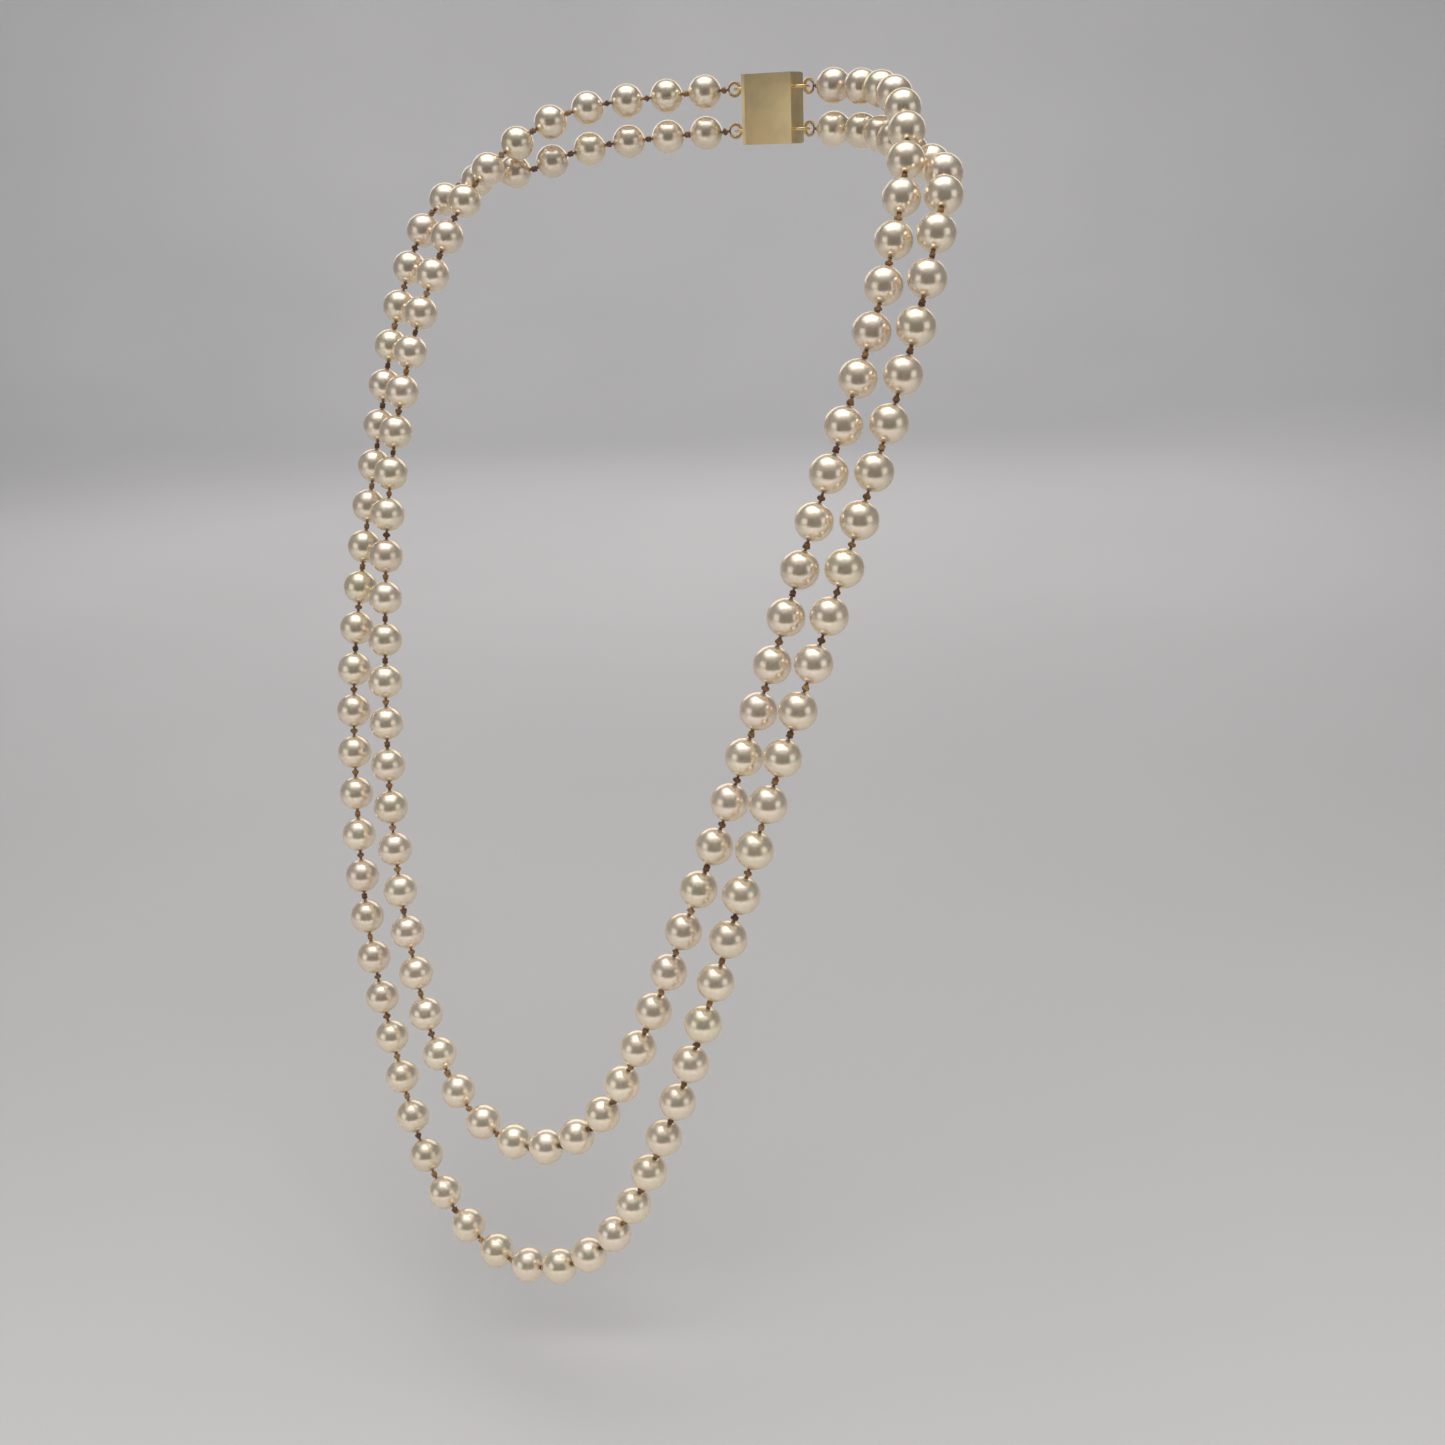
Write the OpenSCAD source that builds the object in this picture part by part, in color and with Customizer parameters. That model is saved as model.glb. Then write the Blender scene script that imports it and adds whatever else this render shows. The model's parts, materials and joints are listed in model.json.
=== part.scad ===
// Necklace of two complete rows of round pearls, knotted on silk, with a two-row box clasp.
// Millimetres, +Z up. X runs from the wearer's right to the wearer's left, the chest is on the -Y side.
// The origin is the middle of the clasp's neck-side face, at the nape.
// Each row is laid along its route from the clasp: knot, pearl, knot, pearl, and so on.

/* [Pearls] */
// Diameter of a pearl
pearl_d = 8; // [6:0.25:10]
// Hole drilled through each pearl
hole_d = 0.9; // [0.6:0.1:1.2]
// Space between two neighbouring pearls, taken up by one knot
knot_space = 1.95; // [1.65:0.05:3]
// Pearls in the inner, shorter row
inner_count = 63; // [51:1:75]
// Pearls in the outer, longer row
outer_count = 70; // [58:1:84]

/* [Silk] */
// Thickness of the silk cord
silk_d = 0.7; // [0.4:0.05:0.8]
// Size of a knot
knot_d = 1.4; // [1:0.1:1.6]

/* [Drape] */
// Half width of the inner row where it lies on the shoulder
shoulder_w = 62; // [54:1:72]
// How far forward of the nape the inner row hangs at its lowest pearl
chest_reach = 116; // [96:1:136]
// Height between the two rows at the clasp
row_gap = 9.5; // [8.5:0.5:12]

/* [Clasp] */
// Length of the clasp box along the rows
box_l = 13; // [12:0.5:18]
// Height of the clasp box across the rows
box_h = 16; // [15:0.5:24]
// Thickness of the clasp box
box_t = 5; // [4.5:0.25:6]
// Wall of the clasp box
wall = 0.6; // [0.4:0.1:0.8]
// Wire of the four clasp rings
ring_wire = 0.7; // [0.5:0.05:0.8]
// Thickness of the tongue's leaves
leaf_t = 0.5; // [0.3:0.05:0.6]
// Thickness of the gimp coil on the silk at each ring
gimp_d = 0.9; // [0.8:0.05:1]

/* [Hidden] */

fa_pearl = 40;
pitch = pearl_d + knot_space;
slack = 0.06;
tuck = 0.3;

// clasp, measured from its own middle
flange_t = 0.95;
half_clasp = (box_l + 1) / 2;
ring_r = 1.8;
ring_x = half_clasp + 1.35;
hook_x = ring_x + ring_r;
loop_r = 1.5;
loop_off = 0.4;
cy = box_t / 2;
end_len = hook_x + 3.25;

// joints of the rows, counted in knots from the clasp
hinge_near = 2;
hinge_far = 4;
in_a = 10;
in_b = 15;
in_c = 20;
in_d = 25;
out_a = 10;
out_b = 15;
out_c = 20;
out_d = 26;

// routes, from the lowest point round the wearer's left side to the nape
kx = shoulder_w / 62;
ky = chest_reach / 116;
in_ctrl = [[0, -116, -221], [13, -115.5, -217.5], [23, -113.5, -209], [34.5, -109, -185], [42.5, -103.5, -160], [49, -96, -135],
  [54, -88, -110], [58, -79.5, -85], [61, -68.5, -60.5], [62, -55, -37], [59, -40, -15],
  [47.5, -20, 0], [26.5, -1.5, 4], [0, cy, row_gap / 2]];
out_ctrl = [[0, -120, -251], [14, -119.5, -247.5], [26, -117.5, -238], [39.5, -113, -211], [48.5, -109, -183], [55, -102.5, -154],
  [60.5, -94, -125], [65, -82.5, -97.5], [68.5, -70, -70], [71, -57, -42.5], [69, -42.5, -19.5], [65, -33, -13.5], [57.5, -25, -13]];
fix = len(in_ctrl) - 3;
steps = 10;

function mirx(p) = [-p[0], p[1], p[2]];
function bend(a, b, c, d, t) = let (d0 = norm(b - a), d1 = norm(c - b), d2 = norm(d - c),
  m1 = ((b - a) / d0 - (c - a) / (d0 + d1) + (c - b) / d1) * d1,
  m2 = ((c - b) / d1 - (d - b) / (d1 + d2) + (d - c) / d2) * d1)
  b * (2 * t * t * t - 3 * t * t + 1) + m1 * (t * t * t - 2 * t * t + t)
  + c * (3 * t * t - 2 * t * t * t) + m2 * (t * t * t - t * t);
function route(c) = let (n = len(c) - 1)
  [for (i = [0 : n - 1], j = [0 : steps - 1])
    bend(i == 0 ? mirx(c[1]) : c[i - 1], c[i], c[i + 1], i == n - 1 ? mirx(c[n - 1]) : c[i + 2], j / steps),
   c[n]];
function total(p, i = 0, s = 0) = i >= len(p) - 1 ? s : total(p, i + 1, s + norm(p[i + 1] - p[i]));
function runs(p) = [for (i = 0, s = 0; i < len(p); s = s + (i < len(p) - 1 ? norm(p[i + 1] - p[i]) : 0), i = i + 1) s];
function find(c, s, lo, hi) = hi - lo <= 1 ? lo
  : let (m = floor((lo + hi) / 2)) c[m] <= s ? find(c, s, m, hi) : find(c, s, lo, m);
function at(p, c, s) = let (i = find(c, s, 0, len(p) - 1), t = (s - c[i]) / (c[i + 1] - c[i]))
  p[i] + (p[i + 1] - p[i]) * t;
// reverse a route so that it starts at the nape
function flip(p) = [for (i = [len(p) - 1 : -1 : 0]) p[i]];
// lengthen or shorten the hanging part, holding the shoulder, until the row has its full length
function hang(c, g) = [for (p = c) p + [0, (g - 1) * (p[1] - c[len(c) - 1][1]), (g - 1) * (p[2] - c[len(c) - 1][2])]];
function fit_hang(c, tail, want, g, n) = n == 0 ? g
  : let (have = total(route(concat(hang(c, g), tail)))) fit_hang(c, tail, want, g * (1 + 1.1 * (want / have - 1)), n - 1);

in_want = inner_count / 2 * pitch + end_len;
out_want = outer_count / 2 * pitch + end_len;
in_head = [for (i = [0 : fix - 1]) [in_ctrl[i][0] * kx, in_ctrl[i][1] * ky, in_ctrl[i][2]]];
in_tail = [for (i = [fix : len(in_ctrl) - 1]) in_ctrl[i]];
in_g = fit_hang(in_head, in_tail, in_want, 1, 7);
in_route = flip(route(concat(hang(in_head, in_g), in_tail)));
in_runs = runs(in_route);

// the outer row lies straight below the inner one from the nape to the hinge on the back of the neck
meet = find(in_runs, end_len + hinge_far * pitch + 1, 0, len(in_route) - 1) + 1;
nape_part = [for (i = [0 : meet]) in_route[i] - [0, 0, row_gap]];
out_head = [for (p = out_ctrl) [p[0] * kx, p[1] * ky, p[2]]];
function out_front(g) = let (c = concat(hang(out_head, g), [nape_part[meet]]), n = len(c) - 1)
  [for (i = [0 : n - 1], j = [0 : steps - 1])
    bend(i == 0 ? mirx(c[1]) : c[i - 1], c[i], c[i + 1],
      i == n - 1 ? c[n] + norm(c[n] - c[n - 1]) * (nape_part[meet - 1] - nape_part[meet]) / norm(nape_part[meet - 1] - nape_part[meet]) : c[i + 2], j / steps)];
function out_len(g) = total(concat(out_front(g), [nape_part[meet]])) + total(nape_part);
function out_fit(g, n) = n == 0 ? g : out_fit(g * (1 + 1.1 * (out_want / out_len(g) - 1)), n - 1);
out_g = out_fit(1, 7);
out_route = concat(nape_part, flip(out_front(out_g)));
out_runs = runs(out_route);

// knots, from the clasp on the wearer's left, round the front, to the clasp on the wearer's right
function knots(p, c, n) = [for (k = [0 : n]) k <= n / 2 ? at(p, c, end_len + k * pitch) : mirx(at(p, c, end_len + (n - k) * pitch))];
KI = knots(in_route, in_runs, inner_count);
KO = knots(out_route, out_runs, outer_count);

module aim(v) {
  rotate([0, acos(v[2] / norm(v)), atan2(v[1], v[0])]) children();
}

module pearls(K, a, b) {
  for (j = [a : b - 1]) {
    v = K[j + 1] - K[j];
    translate((K[j] + K[j + 1]) / 2) aim(v) difference() {
      sphere(d = pearl_d, $fn = fa_pearl);
      cylinder(d = hole_d, h = pearl_d + 2, center = true, $fn = 24);
    }
  }
}

// one length of cord from knot a to knot b; an end that is not its own starts just clear of the knot there
module cord(K, a, b, own_a, own_b) {
  clear = knot_d / 2 + slack;
  for (j = [a : b - 1]) {
    v = K[j + 1] - K[j];
    u = v / norm(v);
    p = K[j] + u * (j == a && !own_a ? clear : tuck);
    q = K[j + 1] - u * (j == b - 1 && !own_b ? clear : tuck);
    translate(p) aim(v) cylinder(d = silk_d, h = norm(q - p), $fn = 20);
  }
  for (j = [a + (own_a ? 0 : 1) : b - (own_b ? 0 : 1)]) {
    v = K[min(j + 1, len(K) - 1)] - K[max(j - 1, 0)];
    translate(K[j]) aim(v) rotate([0, 0, 50]) sphere(d = knot_d, $fn = 24);
  }
}

function hook(s, z) = [s * hook_x, cy, z];
// direction from a ring to the end knot of its row
function lead(K, s, z) = let (k = s > 0 ? K[0] : K[len(K) - 1], v = k - hook(s, z)) [v[0], v[1], 0] / norm([v[0], v[1]]);

// silk doubled round the ring inside the gimp, and the end knot
module silk_end(K, s, z) {
  d = lead(K, s, z);
  far = hook(s, z) + d * (loop_off + loop_r);
  k = s > 0 ? K[0] : K[len(K) - 1];
  translate(hook(s, z) + d * loop_off) rotate([90, 0, atan2(d[1], d[0])])
    rotate_extrude($fn = 40) translate([loop_r, 0]) circle(d = gimp_d - 0.5, $fn = 20);
  translate(far) aim(k - far) cylinder(d = silk_d, h = norm(k - far) - tuck, $fn = 20);
}

module gimp(K, s, z) {
  d = lead(K, s, z);
  translate(hook(s, z) + d * loop_off) rotate([90, 0, atan2(d[1], d[0])]) rotate([0, 0, 32])
    rotate_extrude(angle = 296, $fn = 40) translate([loop_r, 0]) difference() {
      circle(d = gimp_d, $fn = 24);
      circle(d = gimp_d - 0.4, $fn = 20);
    }
}

module ring(s, z) {
  translate([s * ring_x, cy, z]) rotate_extrude($fn = 40) translate([ring_r, 0]) circle(d = ring_wire, $fn = 24);
}

module slab(x0, x1, y0, y1, z0, z1) {
  translate([x0, y0, z0]) cube([x1 - x0, y1 - y0, z1 - z0]);
}

nI = inner_count;
nO = outer_count;
zi = row_gap / 2;
zo = -row_gap / 2;
mouth_x = -half_clasp + 1;
mouth_y = box_t / 2 - wall - 0.15;
mouth_z = box_h / 2 - 2.8;
tongue_z = mouth_z - 0.7;
pivot_x = 0.9;
pivot_y = -0.55;
leaf_y = 0.75;
barrel_r = 0.51;

// ---- held at the nape ----
module inner_pearls_back() { color([0.93, 0.88, 0.78]) { pearls(KI, 0, in_a); pearls(KI, nI - in_a, nI - hinge_far); } }
module outer_pearls_back() { color([0.93, 0.88, 0.78]) { pearls(KO, 0, out_a); pearls(KO, nO - out_a, nO - hinge_far); } }
module inner_silk_back() {
  color([0.55, 0.4, 0.2]) {
    union() { cord(KI, 0, in_a, true, true); silk_end(KI, 1, zi); }
    cord(KI, nI - in_a, nI - hinge_far, true, true);
  }
}
module outer_silk_back() {
  color([0.55, 0.4, 0.2]) {
    union() { cord(KO, 0, out_a, true, true); silk_end(KO, 1, zo); }
    cord(KO, nO - out_a, nO - hinge_far, true, true);
  }
}
module gimp_left() { color([0.8, 0.65, 0.3]) { gimp(KI, 1, zi); gimp(KO, 1, zo); } }

module clasp_box() {
  color([0.83, 0.66, 0.3]) difference() {
    union() {
      slab(mouth_x, half_clasp, 0, box_t, -box_h / 2, box_h / 2);
      ring(1, zi);
      ring(1, zo);
    }
    slab(mouth_x + wall, half_clasp - 1, wall, box_t - wall, -box_h / 2 + wall, box_h / 2 - wall);
    slab(mouth_x - 1, mouth_x + wall + 0.1, cy - mouth_y, cy + mouth_y, -mouth_z, mouth_z);
  }
}

// raised cover on the side away from the neck: a border and reeded bars
module clasp_cover() {
  n = 9;
  w = (box_h - 3.2) / n;
  color([0.86, 0.69, 0.33]) difference() {
    slab(mouth_x + 0.2, half_clasp - 0.2, box_t, box_t + 0.9, -box_h / 2 + 0.2, box_h / 2 - 0.2);
    difference() {
      slab(mouth_x + 1.1, half_clasp - 1.1, box_t + 0.35, box_t + 2, -box_h / 2 + 1.1, box_h / 2 - 1.1);
      for (i = [0 : n - 1]) translate([mouth_x + 1.6, box_t + 0.35, (i - (n - 1) / 2) * w])
        rotate([0, 90, 0]) cylinder(r = w * 0.36, h = box_l - 3.2, $fn = 24);
    }
  }
}

// ---- wearer's right half of the nape, which swings out with the tongue ----
module inner_pearls_nape_far() { color([0.93, 0.88, 0.78]) pearls(KI, nI - hinge_far, nI - hinge_near); }
module outer_pearls_nape_far() { color([0.93, 0.88, 0.78]) pearls(KO, nO - hinge_far, nO - hinge_near); }
module silk_nape_far() {
  color([0.55, 0.4, 0.2]) {
    cord(KI, nI - hinge_far, nI - hinge_near, false, true);
    cord(KO, nO - hinge_far, nO - hinge_near, false, true);
  }
}
module inner_pearls_nape_near() { color([0.93, 0.88, 0.78]) pearls(KI, nI - hinge_near, nI); }
module outer_pearls_nape_near() { color([0.93, 0.88, 0.78]) pearls(KO, nO - hinge_near, nO); }
module silk_nape_near() {
  color([0.55, 0.4, 0.2]) {
    mirror([1, 0, 0]) union() { cord(KI, 0, hinge_near, true, false); silk_end(KI, 1, zi); }
    mirror([1, 0, 0]) union() { cord(KO, 0, hinge_near, true, false); silk_end(KO, 1, zo); }
  }
}
module gimp_right() { color([0.8, 0.65, 0.3]) { gimp(KI, -1, zi); gimp(KO, -1, zo); } }

// flange with two rings outside the box, lower leaf inside it, hollowed for the fold of the spring leaf
module clasp_tongue() {
  color([0.83, 0.66, 0.3]) translate([0, cy, 0]) difference() {
    union() {
      slab(-half_clasp, mouth_x - 0.05, -box_t / 2, box_t / 2, -box_h / 2, box_h / 2);
      translate([0, -cy, 0]) { ring(-1, zi); ring(-1, zo); }
      slab(mouth_x - 0.2, pivot_x - 0.1, -1.45, -1.45 + leaf_t, -tongue_z, tongue_z);
    }
    slab(-half_clasp - 1, mouth_x + 0.01, pivot_y - 0.35, 1.75, -2.2, 2.2);
    translate([pivot_x, pivot_y, 0]) cylinder(r = barrel_r + slack, h = box_h, center = true, $fn = 24);
  }
}

// leaf folded back over the tongue, and the thumb tab outside the flange
module clasp_spring_leaf() {
  run = pivot_x - mouth_x - wall - 0.15;
  rise = atan2(leaf_y - pivot_y - 0.25, run);
  color([0.83, 0.66, 0.3]) translate([0, cy, 0]) union() {
    translate([pivot_x, pivot_y, 0]) cylinder(r = barrel_r, h = 2 * tongue_z, center = true, $fn = 24);
    translate([pivot_x, pivot_y, 0]) rotate([0, 0, -rise]) slab(-run, 0, 0, leaf_t, -tongue_z, tongue_z);
    translate([pivot_x, pivot_y, 0]) rotate([0, 0, -rise]) slab(-run - 3.1, -run + 1, 0, leaf_t, -1.8, 1.8);
    translate([pivot_x, pivot_y, 0]) rotate([0, 0, -rise]) slab(-run - 3.1, -run - 2.6, 0, 2.45, -1.8, 1.8);
    translate([pivot_x, pivot_y, 0]) rotate([0, 0, -rise]) translate([-run - 2.85, 2.6, 0]) cylinder(r = 0.42, h = 3.5, center = true, $fn = 60);
  }
}

// ---- front of the inner row, in four lengths that fold at knots level with each other ----
module inner_pearls_upper() { color([0.93, 0.88, 0.78]) { pearls(KI, in_a, in_b); pearls(KI, nI - in_b, nI - in_a); } }
module inner_silk_upper() { color([0.55, 0.4, 0.2]) { cord(KI, in_a, in_b, false, true); cord(KI, nI - in_b, nI - in_a, true, false); } }
module inner_pearls_middle() { color([0.93, 0.88, 0.78]) { pearls(KI, in_b, in_c); pearls(KI, nI - in_c, nI - in_b); } }
module inner_silk_middle() { color([0.55, 0.4, 0.2]) { cord(KI, in_b, in_c, false, true); cord(KI, nI - in_c, nI - in_b, true, false); } }
module inner_pearls_lower() { color([0.93, 0.88, 0.78]) { pearls(KI, in_c, in_d); pearls(KI, nI - in_d, nI - in_c); } }
module inner_silk_lower() { color([0.55, 0.4, 0.2]) { cord(KI, in_c, in_d, false, true); cord(KI, nI - in_d, nI - in_c, true, false); } }
module inner_pearls_bottom() { color([0.93, 0.88, 0.78]) pearls(KI, in_d, nI - in_d); }
module inner_silk_bottom() { color([0.55, 0.4, 0.2]) cord(KI, in_d, nI - in_d, false, false); }

// ---- front of the outer row, in four lengths ----
module outer_pearls_upper() { color([0.93, 0.88, 0.78]) { pearls(KO, out_a, out_b); pearls(KO, nO - out_b, nO - out_a); } }
module outer_silk_upper() { color([0.55, 0.4, 0.2]) { cord(KO, out_a, out_b, false, true); cord(KO, nO - out_b, nO - out_a, true, false); } }
module outer_pearls_middle() { color([0.93, 0.88, 0.78]) { pearls(KO, out_b, out_c); pearls(KO, nO - out_c, nO - out_b); } }
module outer_silk_middle() { color([0.55, 0.4, 0.2]) { cord(KO, out_b, out_c, false, true); cord(KO, nO - out_c, nO - out_b, true, false); } }
module outer_pearls_lower() { color([0.93, 0.88, 0.78]) { pearls(KO, out_c, out_d); pearls(KO, nO - out_d, nO - out_c); } }
module outer_silk_lower() { color([0.55, 0.4, 0.2]) { cord(KO, out_c, out_d, false, true); cord(KO, nO - out_d, nO - out_c, true, false); } }
module outer_pearls_bottom() { color([0.93, 0.88, 0.78]) pearls(KO, out_d, nO - out_d); }
module outer_silk_bottom() { color([0.55, 0.4, 0.2]) cord(KO, out_d, nO - out_d, false, false); }

inner_pearls_back();
outer_pearls_back();
inner_silk_back();
outer_silk_back();
gimp_left();
clasp_box();
clasp_cover();
inner_pearls_nape_far();
outer_pearls_nape_far();
silk_nape_far();
inner_pearls_nape_near();
outer_pearls_nape_near();
silk_nape_near();
gimp_right();
clasp_tongue();
clasp_spring_leaf();
inner_pearls_upper();
inner_silk_upper();
inner_pearls_middle();
inner_silk_middle();
inner_pearls_lower();
inner_silk_lower();
inner_pearls_bottom();
inner_silk_bottom();
outer_pearls_upper();
outer_silk_upper();
outer_pearls_middle();
outer_silk_middle();
outer_pearls_lower();
outer_silk_lower();
outer_pearls_bottom();
outer_silk_bottom();
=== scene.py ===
import json
import math
import random

import bmesh
import bpy
import numpy as np
from mathutils import Matrix, Vector

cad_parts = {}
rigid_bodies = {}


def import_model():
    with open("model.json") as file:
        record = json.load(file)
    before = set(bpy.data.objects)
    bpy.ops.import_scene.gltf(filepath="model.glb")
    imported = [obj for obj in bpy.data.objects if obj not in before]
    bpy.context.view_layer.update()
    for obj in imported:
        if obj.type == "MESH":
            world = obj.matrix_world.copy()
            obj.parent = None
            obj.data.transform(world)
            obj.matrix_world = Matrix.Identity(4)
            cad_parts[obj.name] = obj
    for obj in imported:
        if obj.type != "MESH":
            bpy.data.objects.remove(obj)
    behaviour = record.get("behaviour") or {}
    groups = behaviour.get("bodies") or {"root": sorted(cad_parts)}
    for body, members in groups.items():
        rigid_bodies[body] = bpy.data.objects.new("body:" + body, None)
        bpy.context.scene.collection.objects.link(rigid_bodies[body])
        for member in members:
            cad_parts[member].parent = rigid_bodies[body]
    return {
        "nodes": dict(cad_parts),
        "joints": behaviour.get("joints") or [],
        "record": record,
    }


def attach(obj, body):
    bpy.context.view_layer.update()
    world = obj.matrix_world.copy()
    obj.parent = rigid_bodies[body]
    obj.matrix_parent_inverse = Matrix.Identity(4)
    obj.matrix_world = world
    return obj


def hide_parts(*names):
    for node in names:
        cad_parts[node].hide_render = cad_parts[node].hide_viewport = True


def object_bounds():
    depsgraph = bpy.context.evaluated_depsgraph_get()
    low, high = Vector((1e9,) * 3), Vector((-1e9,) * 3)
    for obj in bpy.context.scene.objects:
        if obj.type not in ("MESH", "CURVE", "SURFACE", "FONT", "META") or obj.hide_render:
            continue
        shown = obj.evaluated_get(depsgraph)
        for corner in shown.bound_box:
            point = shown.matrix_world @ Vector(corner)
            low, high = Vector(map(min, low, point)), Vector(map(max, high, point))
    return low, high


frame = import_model()


def lists(b):
    return [[float(c) for c in p] for p in b]


cad_box = lists(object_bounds())

MM = 0.001
R_PEARL = 4.0 * MM
R_BORE = 0.45 * MM
GAP = 1.95 * MM
HALF = (2 * R_PEARL + GAP) / 2          # knot to pearl centre
HOOK_X, HOOK_Y, ROW_Z = 10.15 * MM, 2.5 * MM, 4.75 * MM
LOOP_R, LOOP_OFF = 1.5 * MM, 0.4 * MM

scene = bpy.context.scene

# ------------------------------------------------------------------ camera
AZ, EL, ROLL = math.radians(34.99), math.radians(19.67), math.radians(-2.0)
fw = Vector((-math.sin(AZ) * math.cos(EL), math.cos(AZ) * math.cos(EL), -math.sin(EL)))
rt = Vector((math.cos(AZ), math.sin(AZ), 0))
up = rt.cross(fw)
right = math.cos(ROLL) * rt + math.sin(ROLL) * up
upward = -math.sin(ROLL) * rt + math.cos(ROLL) * up
cam_data = bpy.data.cameras.new("camera")
cam_data.sensor_width = 36
cam_data.lens = 1651.8 / 1445 * 36
cam_data.clip_start = 0.01
cam_data.clip_end = 100
cam = bpy.data.objects.new("camera", cam_data)
scene.collection.objects.link(cam)
m = Matrix((right, upward, -fw)).transposed().to_4x4()
m.translation = Vector((0.2286, -0.3537, -0.0048))
cam.matrix_world = m
scene.camera = cam

# ------------------------------------------------------------------ reading the frame
node_body = {}
for body, names in frame["record"]["behaviour"]["bodies"].items():
    for n in names:
        node_body[n] = body
parent_of = {j["child"]: j["parent"] for j in frame["joints"]}


def solids(node):
    """The separate solids of a CAD node: a list of (points, faces) arrays."""
    me = frame["nodes"][node].data
    bm = bmesh.new()
    bm.from_mesh(me)
    bmesh.ops.remove_doubles(bm, verts=bm.verts, dist=1e-7)
    bm.verts.ensure_lookup_table()
    seen = [False] * len(bm.verts)
    out = []
    for v in bm.verts:
        if seen[v.index]:
            continue
        seen[v.index] = True
        stack, group = [v], []
        while stack:
            a = stack.pop()
            group.append(a)
            for e in a.link_edges:
                b = e.other_vert(a)
                if not seen[b.index]:
                    seen[b.index] = True
                    stack.append(b)
        faces = {f for a in group for f in a.link_faces}
        pts = np.array([a.co[:] for a in group])
        fc = [(f.calc_center_median()[:], f.normal[:], f.calc_area()) for f in faces]
        out.append((pts, fc))
    bm.free()
    return out


def pearl_of(pts, fc):
    """Centre of a drilled ball by least squares, and its bore's direction from the bore wall's faces."""
    a = np.hstack([2 * pts, np.ones((len(pts), 1))])
    sol = np.linalg.lstsq(a, (pts ** 2).sum(1), rcond=None)[0]
    c = sol[:3]
    s = np.zeros((3, 3))
    for p, n, area in fc:
        if np.linalg.norm(np.array(p) - c) < R_PEARL * 0.45:
            s += area * np.outer(n, n)
    w, v = np.linalg.eigh(s)
    return c, v[:, 0]


rows = {}
for row, z in (("inner", ROW_Z), ("outer", -ROW_Z)):
    todo = []
    for n in sorted(frame["nodes"]):
        if n.startswith(row + "_pearls"):
            for pts, fc in solids(n):
                c, ax = pearl_of(pts, fc)
                todo.append([n, c, ax])
    at = np.array([HOOK_X, HOOK_Y, z])
    chain = []
    while todo:
        i = min(range(len(todo)), key=lambda k: np.linalg.norm(todo[k][1] - at))
        p = todo.pop(i)
        chain.append(p)
        at = p[1]
    for i, p in enumerate(chain):
        ahead = (chain[i + 1][1] if i + 1 < len(chain) else p[1]) - (chain[i - 1][1] if i else p[1])
        if np.dot(p[2], ahead) < 0:
            p[2] = -p[2]
    knots = [chain[0][1] - chain[0][2] * HALF]
    for a, b in zip(chain, chain[1:]):
        knots.append((a[1] + a[2] * HALF + b[1] - b[2] * HALF) / 2)
    knots.append(chain[-1][1] + chain[-1][2] * HALF)
    rows[row] = {"pearls": chain, "knots": knots, "z": z}
    print(row, len(chain), "pearls, widest step", max(np.linalg.norm(a[1] - b[1]) for a, b in zip(chain, chain[1:])))


# ------------------------------------------------------------------ small helpers
def basis(ax):
    ax = np.array(ax) / np.linalg.norm(ax)
    h = np.array([0, 0, 1.0]) if abs(ax[2]) < 0.9 else np.array([1.0, 0, 0])
    u = np.cross(h, ax)
    u /= np.linalg.norm(u)
    return u, np.cross(ax, u), ax


def new_object(name, verts, faces, smooth=True):
    me = bpy.data.meshes.new(name)
    me.from_pydata([tuple(v) for v in verts], [], faces)
    me.validate()
    if smooth:
        me.polygons.foreach_set("use_smooth", [True] * len(me.polygons))
    ob = bpy.data.objects.new(name, me)
    scene.collection.objects.link(ob)
    return ob


def tube(path, radius, sides, frames=None, closed=False):
    """A round tube along points. radius is a number or one for each point. Returns vertices and faces."""
    path = np.asarray(path, float)
    n = len(path)
    rad = np.full(n, radius) if np.isscalar(radius) else np.asarray(radius)
    if closed:
        tan = np.roll(path, -1, 0) - np.roll(path, 1, 0)
    else:
        tan = np.gradient(path, axis=0)
    tan /= np.linalg.norm(tan, axis=1)[:, None]
    u = basis(tan[0])[0]
    verts = []
    for i in range(n):
        u = u - tan[i] * np.dot(u, tan[i])
        u /= np.linalg.norm(u)
        w = np.cross(tan[i], u)
        for k in range(sides):
            a = 2 * math.pi * k / sides
            verts.append(path[i] + rad[i] * (math.cos(a) * u + math.sin(a) * w))
    faces = []
    last = n if closed else n - 1
    if closed:
        # turn the joining ring to the nearest matching side, so that the seam is not twisted
        u0 = verts[0] - path[0]
        best = min(range(sides), key=lambda k: np.linalg.norm((verts[(n - 1) * sides + k] - path[n - 1]) - u0))
    for i in range(last):
        j = (i + 1) % n
        shift = best if closed and i == n - 1 else 0
        for k in range(sides):
            k2 = (k + 1) % sides
            a, b = i * sides + (k + shift) % sides, i * sides + (k2 + shift) % sides
            faces.append((a, b, j * sides + k2, j * sides + k))
    if not closed:
        faces.append(tuple(range(sides))[::-1])
        faces.append(tuple((n - 1) * sides + k for k in range(sides)))
    return verts, faces


class Build:
    def __init__(self):
        self.v, self.f, self.tags = [], [], []

    def add(self, verts, faces, tag=0.0):
        o = len(self.v)
        self.v += [tuple(p) for p in verts]
        self.f += [tuple(i + o for i in f) for f in faces]
        self.tags += [tag] * len(verts)

    def make(self, name):
        ob = new_object(name, self.v, self.f)
        at = ob.data.attributes.new("tone", "FLOAT", "POINT")
        at.data.foreach_set("value", self.tags)
        return ob


# ------------------------------------------------------------------ pearls
RINGS, SIDES = 30, 44


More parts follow.
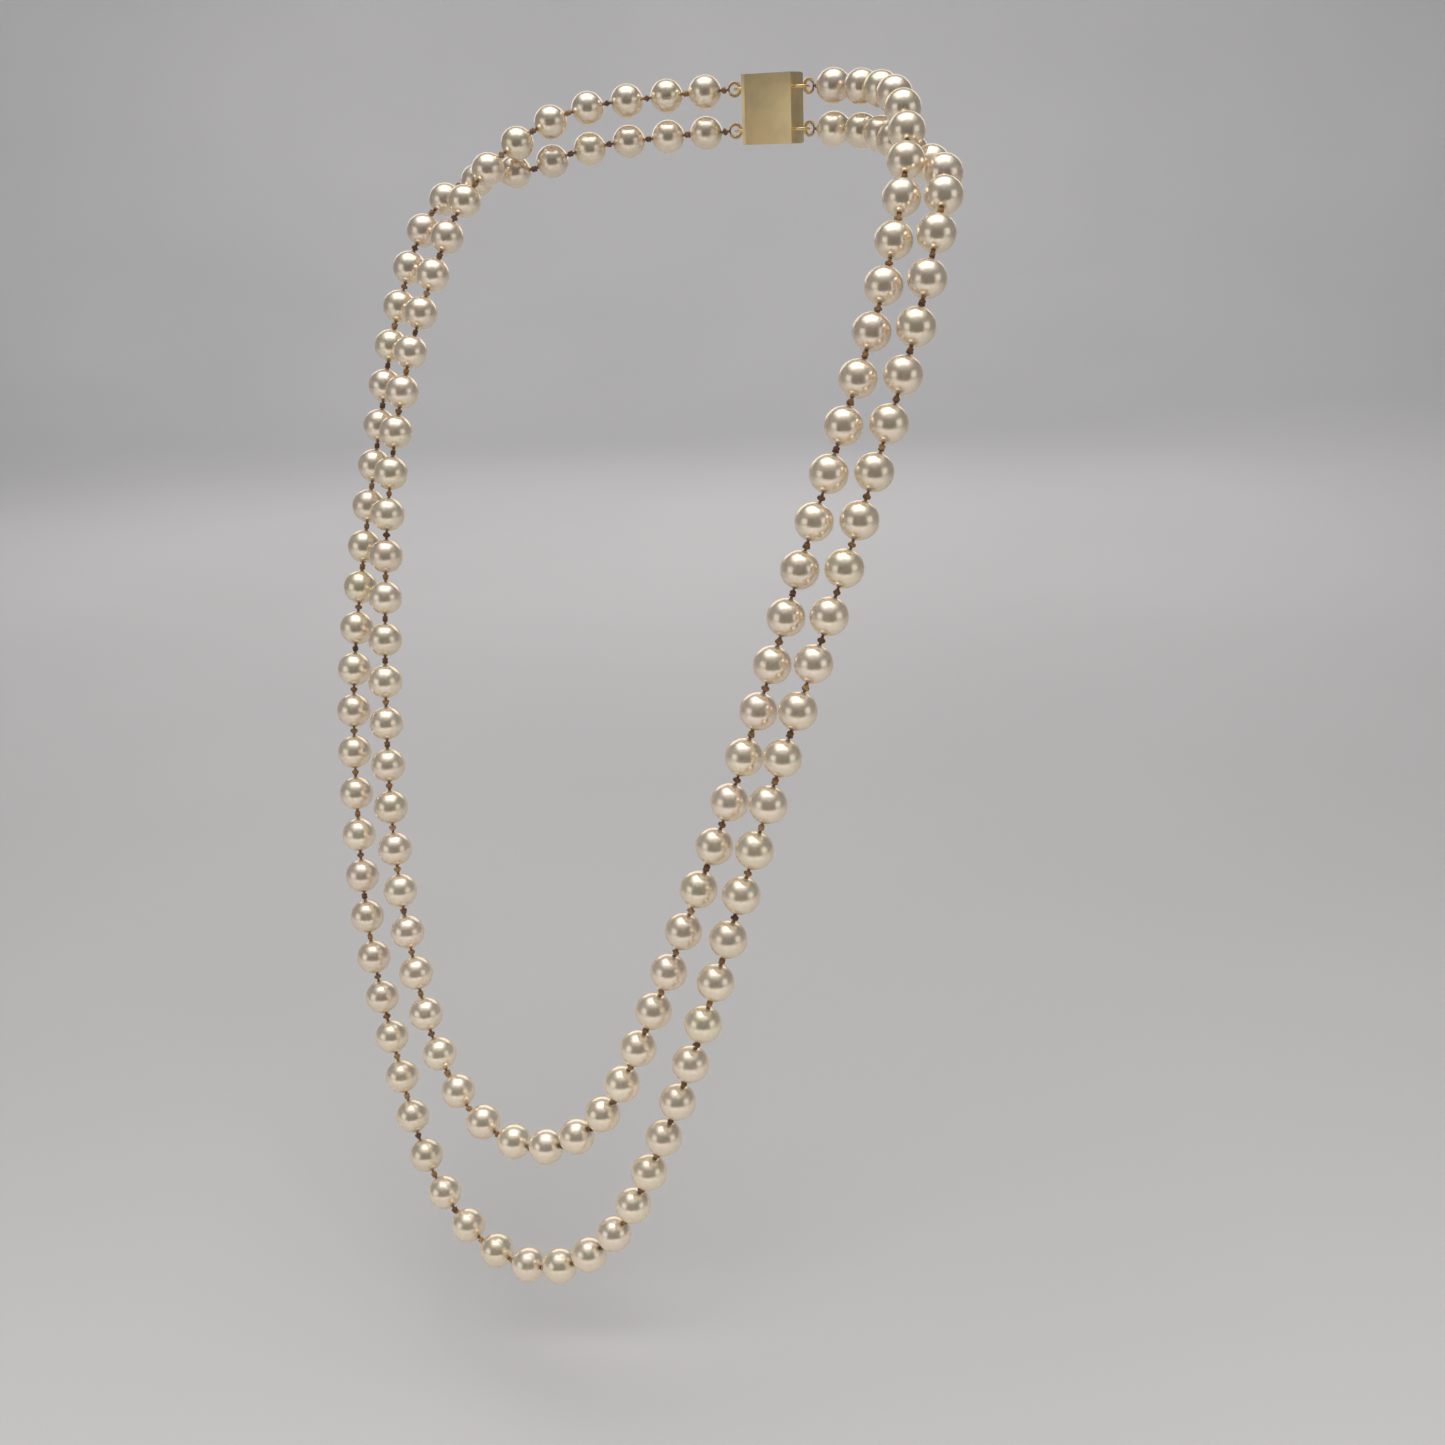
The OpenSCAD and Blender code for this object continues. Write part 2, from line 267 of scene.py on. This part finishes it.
def pearl_mesh(rng):
    """One drilled pearl about its own bore, +Z along the strand: verts, faces."""
    prof = []                                   # (radius, z) from the bore's low end, over the ball, to its high end
    lip = 0.16 * MM                             # the drill leaves a small worn lip
    a0 = math.asin((R_BORE + lip) / R_PEARL)
    zin = math.sqrt(R_PEARL ** 2 - R_BORE ** 2)
    prof.append((R_BORE, -zin + 0.75 * MM))
    prof.append((R_BORE, -zin + 0.16 * MM))
    prof.append((R_BORE + 0.05 * MM, -zin + 0.05 * MM))
    for i in range(RINGS + 1):
        t = math.pi - a0 - (math.pi - 2 * a0) * i / RINGS
        prof.append((R_PEARL * math.sin(t), R_PEARL * math.cos(t)))
    prof.append((R_BORE + 0.05 * MM, zin - 0.05 * MM))
    prof.append((R_BORE, zin - 0.16 * MM))
    prof.append((R_BORE, zin - 0.75 * MM))
    # nearly round: slightly oval, a hair flat on one side, a few very shallow waves
    oval, egg = rng.uniform(-0.006, 0.006), rng.uniform(-0.004, 0.004)
    waves = [(np.array([rng.gauss(0, 1) for _ in range(3)]), rng.uniform(2.0, 4.5), rng.uniform(0, 6.3)) for _ in range(4)]
    size = 1 + rng.uniform(-0.010, 0.006)
    pits = []
    for _ in range(rng.choice((0, 0, 0, 1, 1, 2))):
        d = np.array([rng.gauss(0, 1) for _ in range(3)])
        pits.append((d / np.linalg.norm(d), rng.uniform(0.05, 0.09), rng.uniform(0.006, 0.014)))
    verts = []
    for r, z in prof:
        for k in range(SIDES):
            a = 2 * math.pi * k / SIDES
            p = np.array([r * math.cos(a), r * math.sin(a), z])
            n = np.linalg.norm(p)
            d = p / n
            if n > R_PEARL * 0.999:
                s = size * (1 + oval * (d[2] ** 2 - 0.33) + egg * d[0] * abs(d[0]))
                for w, f, ph in waves:
                    s += 0.0011 * math.sin(f * float(np.dot(w, d)) + ph)
                for q, wd, dp in pits:
                    s -= dp * math.exp(-((1 - float(np.dot(q, d))) / (wd * wd / 2)))
                p = p * min(s, 1.004)
            verts.append(p)
    n = len(prof)
    faces = []
    for i in range(n):
        j = (i + 1) % n
        for k in range(SIDES):
            k2 = (k + 1) % SIDES
            faces.append((i * SIDES + k, i * SIDES + k2, j * SIDES + k2, j * SIDES + k))
    return np.array(verts), faces


rng = random.Random(4117)
pearl_nodes = {}
for row, data in rows.items():
    for i, (node, c, ax) in enumerate(data["pearls"]):
        pearl_nodes.setdefault(node, []).append((row, i, c, ax))

pearl_pieces = []
for node in sorted(pearl_nodes):
    V, F, TONE, LOC = [], [], [], []
    for row, i, c, ax in pearl_nodes[node]:
        verts, faces = pearl_mesh(rng)
        u, w, z = basis(ax)
        spin = rng.uniform(0, 2 * math.pi)
        u2 = math.cos(spin) * u + math.sin(spin) * w
        w2 = np.cross(z, u2)
        world = c + verts @ np.array([u2, w2, z])
        o = len(V)
        V += [tuple(p) for p in world]
        F += [tuple(k + o for k in f) for f in faces]
        # rosy to golden-green, light to dark, lustre, and a seed
        tone = (min(1, max(0, rng.gauss(0.48, 0.15))), min(1, max(0, rng.gauss(0.5, 0.18))), rng.random(), rng.random())
        TONE += [tone] * len(verts)
        LOC += [tuple(p / R_PEARL + 7 * np.array([tone[3], tone[2], 0])) for p in verts]
    ob = new_object(node.replace("pearls", "nacre"), V, F)
    at = ob.data.attributes.new("tone", "FLOAT_COLOR", "POINT")
    at.data.foreach_set("color", np.array(TONE, dtype=np.float32).ravel())
    at = ob.data.attributes.new("loc", "FLOAT_VECTOR", "POINT")
    at.data.foreach_set("vector", np.array(LOC, dtype=np.float32).ravel())
    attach(ob, node_body[node])
    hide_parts(node)
    pearl_pieces.append(ob)

# ------------------------------------------------------------------ silk
PLY, PLY_OFF, TWIST = 0.185 * MM, 0.165 * MM, 1.25 * MM


def thread(build, knots, a, b, own_a, own_b, tone):
    """A two-ply thread through the pearls from knot a to knot b. Inside a pearl it runs straight."""
    pts, phase, ph = [], [], 0.0
    frames = []
    for j in range(a, b):
        p, q = np.array(knots[j]), np.array(knots[j + 1])
        L = np.linalg.norm(q - p)
        d = (q - p) / L
        s0 = 0.22 * MM if (j == a and not own_a) else 0.12 * MM if j > a else 0.0
        s1 = L - (0.22 * MM if (j == b - 1 and not own_b) else 0.12 * MM if j < b - 1 else 0.0)
        out = GAP / 2 + 0.12 * MM
        ss = list(np.linspace(s0, out, 8)) + list(np.linspace(out, L - out, 7))[1:-1] + list(np.linspace(L - out, s1, 8))
        last = ss[0]
        for s in ss:
            if s <= out or s >= L - out:
                if not (last <= out and s >= L - out):
                    ph += (s - last) / TWIST * 2 * math.pi
            last = s
            pts.append(p + d * s)
            frames.append(d)
            phase.append(ph)
    pts = np.array(pts)
    u = basis(frames[0])[0]
    us = []
    for d in frames:
        u = u - d * np.dot(u, d)
        u /= np.linalg.norm(u)
        us.append((u.copy(), np.cross(d, u)))
    for ply in (0, 1):
        line = [pts[i] + PLY_OFF * (math.cos(phase[i] + ply * math.pi) * us[i][0] + math.sin(phase[i] + ply * math.pi) * us[i][1])
                for i in range(len(pts))]
        v, f = tube(line, PLY, 8)
        build.add(v, f, tone)


def knot(build, k, ax, turn, tone, size=1.0, flat=1.0):
    """A tied overhand knot: a plump trefoil of the doubled thread round a small core."""
    u, w, z = basis(ax)
    u, w = math.cos(turn) * u + math.sin(turn) * w, -math.sin(turn) * u + math.cos(turn) * w
    s = 0.150 * MM * size
    line = []
    for i in range(42):
        t = 2 * math.pi * i / 42
        x, y, h = math.sin(t) + 2 * math.sin(2 * t), math.cos(t) - 2 * math.cos(2 * t), -1.9 * math.sin(3 * t)
        # the trefoil lies with one lobe along the strand, as a pulled-up knot does
        line.append(np.array(k) + s * (x * 0.92 * u + h * 0.80 * flat * w + y * 0.80 * z))
    v, f = tube(line, 0.235 * MM * size, 8, closed=True)
    build.add(v, f, tone)
    core, cf = [], []
    n, mseg = 5, 8
    core.append(np.array(k) + z * 0.40 * MM)
    for i in range(1, n):
        t = math.pi * i / n
        for q in range(mseg):
            a = 2 * math.pi * q / mseg
            core.append(np.array(k) + 0.40 * MM * (math.sin(t) * (math.cos(a) * u + math.sin(a) * w) + math.cos(t) * z))
    core.append(np.array(k) - z * 0.40 * MM)
    for q in range(mseg):
        cf.append((0, 1 + q, 1 + (q + 1) % mseg))
        e = 1 + (n - 2) * mseg
        cf.append((len(core) - 1, e + (q + 1) % mseg, e + q))
    for i in range(n - 2):
        for q in range(mseg):
            a0 = 1 + i * mseg
            cf.append((a0 + q, a0 + mseg + q, a0 + mseg + (q + 1) % mseg, a0 + (q + 1) % mseg))
    # painted shade: the core, deep inside the knot, gets a darker tone than the thread round it
    build.add(core, cf, tone * 0.6)


def lead(row, s):
    K = rows[row]["knots"]
    k = K[0] if s > 0 else K[-1]
    d = np.array([k[0] - s * HOOK_X, k[1] - HOOK_Y, 0.0])
    return k, d / np.linalg.norm(d)


def silk_end(build, row, s, tone):
    """The silk's turn round the clasp ring, inside the gimp, and the length to the end knot."""
    k, d = lead(row, s)
    hook = np.array([s * HOOK_X, HOOK_Y, rows[row]["z"]])
    c = hook + d * LOOP_OFF
    zz = np.array([0, 0, 1.0])
    line = [c + LOOP_R * (math.cos(a) * d + math.sin(a) * zz) for a in [2 * math.pi * i / 36 for i in range(36)]]
    v, f = tube(line, 0.2 * MM, 8, closed=True)
    build.add(v, f, tone)
    far = c + d * LOOP_R
    n = 12
    v, f = [], []
    ax = (k - far) / np.linalg.norm(k - far)
    u, w, _ = basis(ax)
    for ply in (0, 1):
        pts = []
        for i in range(n):
            t = i / (n - 1)
            ph = t * np.linalg.norm(k - far) / TWIST * 2 * math.pi + ply * math.pi
            pts.append(far + (k - far) * t + PLY_OFF * (math.cos(ph) * u + math.sin(ph) * w))
        v, f = tube(pts, PLY, 8)
        build.add(v, f, tone)


krng = random.Random(977)
builds = {}
for row, data in rows.items():
    chain, K = data["pearls"], data["knots"]
    body = [node_body[p[0]] for p in chain]
    n = len(chain)
    a = 0
    while a < n:
        b = a
        while b < n and body[b] == body[a]:
            b += 1
        me = body[a]
        silk = [x for x in frame["record"]["behaviour"]["bodies"][me] if "silk" in x]
        node = silk[0] if len(silk) == 1 else [x for x in silk if x.startswith(row)][0]
        B = builds.setdefault(node, Build())
        own_a = a == 0 or parent_of.get(body[a - 1]) == me
        own_b = b == n or parent_of.get(body[b]) == me
        tone = krng.uniform(0.35, 0.65)
        thread(B, K, a, b, own_a, own_b, tone)
        for j in range(a + (0 if own_a else 1), b + (1 if own_b else 0)):
            ax = K[min(j + 1, n)] - K[max(j - 1, 0)]
            size = krng.uniform(0.93, 1.03)
            knot(B, K[j], ax, krng.uniform(0, 6.28), krng.uniform(0.0, 0.9), size * 1.42)
        if a == 0:
            silk_end(B, row, 1, tone)
        if b == n:
            silk_end(B, row, -1, tone)
        a = b

silk_pieces = []
for node in sorted(builds):
    ob = builds[node].make(node.replace("silk", "thread"))
    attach(ob, node_body[node])
    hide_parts(node)
    silk_pieces.append(ob)

# ------------------------------------------------------------------ gimp: a coil of fine wire round each turn of silk
gimp_pieces = []
for node, s in (("gimp_left", 1), ("gimp_right", -1)):
    B = Build()
    for row in ("inner", "outer"):
        k, d = lead(row, s)
        c = np.array([s * HOOK_X, HOOK_Y, rows[row]["z"]]) + d * LOOP_OFF
        zz = np.array([0, 0, 1.0])
        side = np.cross(d, zz)
        a0, a1 = math.radians(32), math.radians(328)
        turns = 30
        wire, rc = 0.105 * MM, 0.335 * MM
        pts = []
        for i in range(turns * 12 + 1):
            t = i / (turns * 12)
            a = a0 + (a1 - a0) * t
            ph = 2 * math.pi * turns * t
            radial = math.cos(a) * d + math.sin(a) * zz
            pts.append(c + LOOP_R * radial + rc * (math.cos(ph) * radial + math.sin(ph) * side))
        v, f = tube(pts, wire, 6)
        B.add(v, f, 0.5)
    ob = B.make(node + "_coil")
    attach(ob, node_body[node])
    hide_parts(node)
    gimp_pieces.append(ob)


# ------------------------------------------------------------------ clasp: the CAD shapes with softened edges
def softened(node, name, width):
    me = frame["nodes"][node].data.copy()
    bm = bmesh.new()
    bm.from_mesh(me)
    bmesh.ops.remove_doubles(bm, verts=bm.verts, dist=1e-7)
    bmesh.ops.dissolve_limit(bm, angle_limit=math.radians(1.5), verts=bm.verts, edges=bm.edges)
    bm.to_mesh(me)
    bm.free()
    me.materials.clear()
    ob = bpy.data.objects.new(name, me)
    scene.collection.objects.link(ob)
    mod = ob.modifiers.new("edge", "BEVEL")
    mod.width = width
    mod.segments = 3
    mod.limit_method = "ANGLE"
    mod.angle_limit = math.radians(40)
    mod.harden_normals = False
    mod.use_clamp_overlap = True
    dg = bpy.context.evaluated_depsgraph_get()
    done = bpy.data.meshes.new_from_object(ob.evaluated_get(dg))
    ob.modifiers.clear()
    ob.data = done
    done.polygons.foreach_set("use_smooth", [True] * len(done.polygons))
    with bpy.context.temp_override(active_object=ob, object=ob, selected_objects=[ob], selected_editable_objects=[ob]):
        bpy.ops.object.shade_smooth_by_angle(angle=math.radians(32))
    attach(ob, node_body[node])
    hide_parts(node)
    return ob


clasp_pieces = [
    softened("clasp_box", "clasp_box_shell", 0.14 * MM),
    softened("clasp_cover", "clasp_reeded_cover", 0.08 * MM),
    softened("clasp_tongue", "clasp_tongue_plate", 0.08 * MM),
    softened("clasp_spring_leaf", "clasp_leaf_and_tab", 0.07 * MM),
]


# ------------------------------------------------------------------ materials
class Nodes:
    def __init__(self, name):
        self.mat = bpy.data.materials.new(name)
        self.mat.use_nodes = True
        self.t = self.mat.node_tree
        self.t.nodes.clear()
        self.out = self.t.nodes.new("ShaderNodeOutputMaterial")
        self.b = self.t.nodes.new("ShaderNodeBsdfPrincipled")
        self.t.links.new(self.b.outputs[0], self.out.inputs[0])

    def node(self, kind, **props):
        n = self.t.nodes.new(kind)
        for k, v in props.items():
            setattr(n, k, v)
        return n

    def link(self, a, b):
        self.t.links.new(a, b)

    def ramp(self, fac, stops):
        n = self.node("ShaderNodeValToRGB")
        while len(n.color_ramp.elements) < len(stops):
            n.color_ramp.elements.new(0.5)
        for e, (p, c) in zip(n.color_ramp.elements, stops):
            e.position = p
            e.color = (*c, 1)
        self.link(fac, n.inputs[0])
        return n.outputs[0]

    def mix(self, fac, a, b, mode="MIX"):
        n = self.node("ShaderNodeMix", data_type="RGBA", blend_type=mode)
        for sock, val in ((n.inputs[0], fac), (n.inputs[6], a), (n.inputs[7], b)):
            if isinstance(val, (int, float)):
                sock.default_value = val
            elif isinstance(val, tuple):
                sock.default_value = (*val, 1)
            else:
                self.link(val, sock)
        return n.outputs[2]

    def math(self, op, a, b=0.0, c=0.0):
        n = self.node("ShaderNodeMath", operation=op)
        for sock, val in zip(n.inputs, (a, b, c)):
            if isinstance(val, (int, float)):
                sock.default_value = val
            else:
                self.link(val, sock)
        return n.outputs[0]

    def remap(self, x, lo, hi, a=0.0, b=1.0):
        n = self.node("ShaderNodeMapRange")
        for i, v in enumerate((lo, hi, a, b)):
            n.inputs[i + 1].default_value = v
        self.link(x, n.inputs[0])
        return n.outputs[0]

    def noise(self, vec, scale, detail=3.0, rough=0.5):
        n = self.node("ShaderNodeTexNoise")
        n.inputs["Scale"].default_value = scale
        n.inputs["Detail"].default_value = detail
        n.inputs["Roughness"].default_value = rough
        self.link(vec, n.inputs["Vector"])
        return n.outputs[0]

    def bump(self, height, strength, distance, normal=None):
        n = self.node("ShaderNodeBump")
        n.inputs["Strength"].default_value = strength
        n.inputs["Distance"].default_value = distance
        self.link(height, n.inputs["Height"])
        if normal is not None:
            self.link(normal, n.inputs["Normal"])
        return n.outputs[0]

    def set(self, **vals):
        for k, v in vals.items():
            self.b.inputs[k.replace("_", " ")].default_value = v


def nacre():
    M = Nodes("nacre")
    tone = M.node("ShaderNodeAttribute", attribute_name="tone")
    sep = M.node("ShaderNodeSeparateColor")
    M.link(tone.outputs["Color"], sep.inputs[0])
    hue, light, lustre = sep.outputs
    loc = M.node("ShaderNodeAttribute", attribute_name="loc").outputs["Vector"]
    cloud = M.noise(loc, 1.1, 2.5, 0.5)
    fine = M.noise(loc, 6.0, 3.0, 0.6)
    # overtone: rose to cream to a faint gold-green, pearl by pearl, and drifting over each one
    drift = M.math("ADD", hue, M.math("MULTIPLY", M.math("SUBTRACT", cloud, 0.5), 0.40))
    body = M.ramp(drift, [(0.0, (0.97, 0.815, 0.70)), (0.35, (0.97, 0.842, 0.69)), (0.62, (0.97, 0.856, 0.675)), (1.0, (0.94, 0.855, 0.63))])
    dim = M.remap(light, 0, 1, 0.90, 1.03)
    shade = M.math("MULTIPLY", dim, M.remap(fine, 0.3, 0.7, 0.985, 1.012))
    vec = M.node("ShaderNodeVectorMath", operation="SCALE")
    M.link(body, vec.inputs[0])
    M.link(shade, vec.inputs[3])
    # painted shade: the drill hole's mouth, where the knot presses against the pearl, is painted darker and warmer
    split = M.node("ShaderNodeSeparateXYZ")
    M.link(loc, split.inputs[0])
    edge = M.remap(M.math("ABSOLUTE", split.outputs[2]), 0.984, 0.996, 0.0, 0.8)
    col = M.mix(edge, vec.outputs[0], (0.50, 0.34, 0.20))
    M.link(col, M.b.inputs["Base Color"])
    rough = M.math("ADD", M.remap(lustre, 0, 1, 0.226, 0.252), M.remap(fine, 0.3, 0.7, -0.006, 0.008))
    M.link(rough, M.b.inputs["Roughness"])
    # faint growth waves under the lustre
    n1 = M.bump(M.noise(loc, 2.6, 3.0, 0.55), 0.14, 0.00010)
    n2 = M.bump(fine, 0.05, 0.00003, n1)
    M.link(n2, M.b.inputs["Normal"])
    M.set(Metallic=0.75, IOR=1.68, Specular_IOR_Level=0.7, Specular_Tint=(1.0, 0.90, 0.74, 1),
          Subsurface_Weight=0.4, Subsurface_Radius=(1.0, 0.62, 0.34), Subsurface_Scale=0.0016,
          Coat_Weight=0.5, Coat_Roughness=0.15, Coat_IOR=1.7, Coat_Tint=(1.0, 0.99, 0.975, 1),
          Sheen_Weight=0.18, Sheen_Roughness=0.30, Sheen_Tint=(1.0, 0.80, 0.60, 1))
    return M.mat


def silk_material():
    M = Nodes("silk_thread")
    tone = M.node("ShaderNodeAttribute", attribute_name="tone").outputs["Fac"]
    co = M.node("ShaderNodeTexCoord").outputs["Object"]
    n = M.noise(co, 2600.0, 3.0, 0.6)
    slow = M.noise(co, 220.0, 2.0, 0.5)
    k = M.math("ADD", M.math("MULTIPLY", tone, 0.55), M.math("MULTIPLY", M.math("ADD", n, slow), 0.30))
    col = M.ramp(k, [(0.15, (0.060, 0.025, 0.010)), (0.45, (0.145, 0.066, 0.025)), (0.7, (0.28, 0.145, 0.055)), (0.95, (0.52, 0.33, 0.15))])
    M.link(col, M.b.inputs["Base Color"])
    M.link(M.remap(n, 0.3, 0.7, 0.42, 0.62), M.b.inputs["Roughness"])
    wave = M.node("ShaderNodeTexWave")
    wave.inputs["Scale"].default_value = 1600.0
    wave.inputs["Distortion"].default_value = 3.0
    M.link(co, wave.inputs["Vector"])
    h = M.math("ADD", wave.outputs["Fac"], M.math("MULTIPLY", n, 0.7))
    M.link(M.bump(h, 0.5, 0.00003), M.b.inputs["Normal"])
    M.set(Sheen_Weight=0.45, Sheen_Roughness=0.35, Sheen_Tint=(1.0, 0.80, 0.50, 1), Specular_IOR_Level=0.5)
    return M.mat


def gold_material(name, base, rough, scale):
    M = Nodes(name)
    co = M.node("ShaderNodeTexCoord").outputs["Object"]
    stretch = M.node("ShaderNodeMapping")
    stretch.inputs["Scale"].default_value = (1.0, 1.0, 7.0)
    M.link(co, stretch.inputs["Vector"])
    cloud = M.noise(co, scale, 3.0, 0.55)
    hair = M.noise(stretch.outputs[0], scale * 14, 2.0, 0.7)
    warm = M.ramp(cloud, [(0.25, tuple(c * 0.84 for c in base)), (0.55, base), (0.85, tuple(min(1, c * 1.06) for c in base))])
    # convex edges are painted lighter and paler gold: partly rubbed wear, partly a painted highlight
    geo = M.node("ShaderNodeNewGeometry")
    edge = M.remap(geo.outputs["Pointiness"], 0.50, 0.58, 0.0, 0.35)
    col = M.mix(edge, warm, (1.0, 0.86, 0.55))
    M.link(col, M.b.inputs["Base Color"])
    M.link(M.math("ADD", M.remap(hair, 0.3, 0.7, rough - 0.05, rough + 0.07), M.remap(cloud, 0.3, 0.7, -0.03, 0.05)), M.b.inputs["Roughness"])
    M.link(M.bump(hair, 0.10, 0.00002), M.b.inputs["Normal"])
    M.set(Metallic=1.0)
    return M.mat


m_nacre, m_silk = nacre(), silk_material()
m_gold = gold_material("gold_plate", (1.0, 0.755, 0.385), 0.35, 260.0)
m_wire = gold_material("gilt_wire", (0.86, 0.62, 0.30), 0.38, 900.0)
for group, mat in ((pearl_pieces, m_nacre), (silk_pieces, m_silk), (gimp_pieces, m_wire), (clasp_pieces, m_gold)):
    for ob in group:
        ob.data.materials.clear()
        ob.data.materials.append(mat)
for name, ob in frame["nodes"].items():
    body_mat = m_nacre if "pearls" in name else m_silk if "silk" in name else m_wire if "gimp" in name else m_gold
    for sl in ob.material_slots:
        sl.material = body_mat

# ------------------------------------------------------------------ floor, lights, air
FLOOR = cad_box[0][2] - 0.030
M = Nodes("studio_floor")
geo = M.node("ShaderNodeNewGeometry")
sp = M.node("ShaderNodeSeparateXYZ")
M.link(geo.outputs["Position"], sp.inputs[0])
n = M.noise(geo.outputs["Position"], 3.0, 2.0, 0.5)
pale = M.ramp(n, [(0.2, (0.455, 0.450, 0.453)), (0.8, (0.495, 0.489, 0.492))])
# painted shade: the wall is painted darker towards the top, standing for a dim room seen in the pearls' reflections
high = M.remap(sp.outputs[2], FLOOR + 0.75, FLOOR + 1.3, 0.0, 1.0)
M.link(M.mix(high, pale, (0.40, 0.385, 0.37)), M.b.inputs["Base Color"])
M.set(Roughness=0.9, Specular_IOR_Level=0.1)
# a round floor that sweeps up into a wall all round
prof = [(0.0, 0.0), (1.2, 0.0)] + [(1.2 + 0.8 * math.sin(t), 0.8 - 0.8 * math.cos(t)) for t in [math.pi / 2 * i / 14 for i in range(1, 15)]] + [(2.0, 2.4)]
sides = 72
fv, ff = [(0.0, -0.06, FLOOR)], []
for r, h in prof[1:]:
    for k in range(sides):
        t = 2 * math.pi * k / sides
        fv.append((r * math.cos(t), -0.06 + r * math.sin(t), FLOOR + h))
for k in range(sides):
    ff.append((0, 1 + k, 1 + (k + 1) % sides))
for i in range(len(prof) - 2):
    for k in range(sides):
        k2 = (k + 1) % sides
        ff.append((1 + i * sides + k, 1 + (i + 1) * sides + k, 1 + (i + 1) * sides + k2, 1 + i * sides + k2))
floor = new_object("floor", fv, ff)
floor.data.materials.append(M.mat)


def area(name, at, aim_at, w, h, power, color=(1, 1, 1), spread=180):
    d = bpy.data.lights.new(name, "AREA")
    d.shape = "RECTANGLE"
    d.size, d.size_y, d.energy, d.color = w, h, power, color
    d.spread = math.radians(spread)
    ob = bpy.data.objects.new(name, d)
    ob.location = at
    ob.rotation_euler = (Vector(aim_at) - Vector(at)).to_track_quat("-Z", "Y").to_euler()
    ob.visible_camera = False
    scene.collection.objects.link(ob)
    return ob


mid = Vector((0.0, -0.065, -0.125))
flat = Vector((fw.x, fw.y, 0)).normalized()
side = Vector((flat.y, -flat.x, 0))
area("key_overhead", mid + flat * 0.04 + Vector((0, 0, 0.95)), mid - flat * 0.08, 0.42, 0.46, 1.7, (1.0, 0.985, 0.955))
area("key_halo", mid + flat * 0.00 + Vector((0, 0, 1.0)), mid - flat * 0.08, 1.10, 0.90, 3.3, (1.0, 0.985, 0.955))
wash = area("front_floor", mid - flat * 0.95 + Vector((-0.10, 0, 0.80)), mid - flat * 0.80 + Vector((-0.10, 0, -0.2)), 1.3, 0.6, 10.5, (1.0, 0.985, 0.955), 110)
wash.visible_glossy = False
area("back_panel", mid + flat * 1.0 + Vector((0, 0, 0.42)), mid, 1.4, 0.6, 2.6, (1.0, 0.965, 0.91))
for s, which in ((-1, "left"), (1, "right")):
    area("panel_" + which, mid + side * s * 1.05 - flat * 0.65 + Vector((0, 0, 0.27)), mid, 0.75, 0.62, 0.95, (1.0, 0.985, 0.955))
area("backdrop_wash", mid + flat * 0.55 + Vector((0, 0, 1.3)), mid + flat * 1.7 + Vector((0, 0, 0.1)), 1.2, 0.5, 9.0, (1.0, 0.99, 0.99), 120)

# a dark screen where a photographer stands, seen only in reflections
card = Nodes("dark_screen")
cn = card.noise(card.node("ShaderNodeTexCoord").outputs["Object"], 4.0)
card.link(card.ramp(cn, [(0.2, (0.040, 0.027, 0.016)), (0.8, (0.055, 0.038, 0.022))]), card.b.inputs["Base Color"])
card.set(Roughness=1.0)
behind = Vector((0.2286, -0.3537, -0.0048)) - fw * 0.06
lo, hi, half = -0.25, 0.20, 0.35
screen = new_object("dark_screen", [behind - side * half + Vector((0, 0, lo)), behind + side * half + Vector((0, 0, lo)),
                                    behind + side * half + Vector((0, 0, hi)), behind - side * half + Vector((0, 0, hi))], [(0, 1, 2, 3)], smooth=False)
screen.data.materials.append(card.mat)
screen.visible_camera = False
screen.visible_shadow = False
screen.visible_diffuse = False
screen.visible_transmission = False

world = bpy.data.worlds.new("air")
scene.world = world
world.use_nodes = True
air = world.node_tree.nodes["Background"]
air.inputs[0].default_value = (0.93, 0.95, 1.0, 1)
air.inputs[1].default_value = 0.56

scene.view_settings.view_transform = "Standard"
scene.view_settings.look = "None"
scene.view_settings.exposure = -0.18
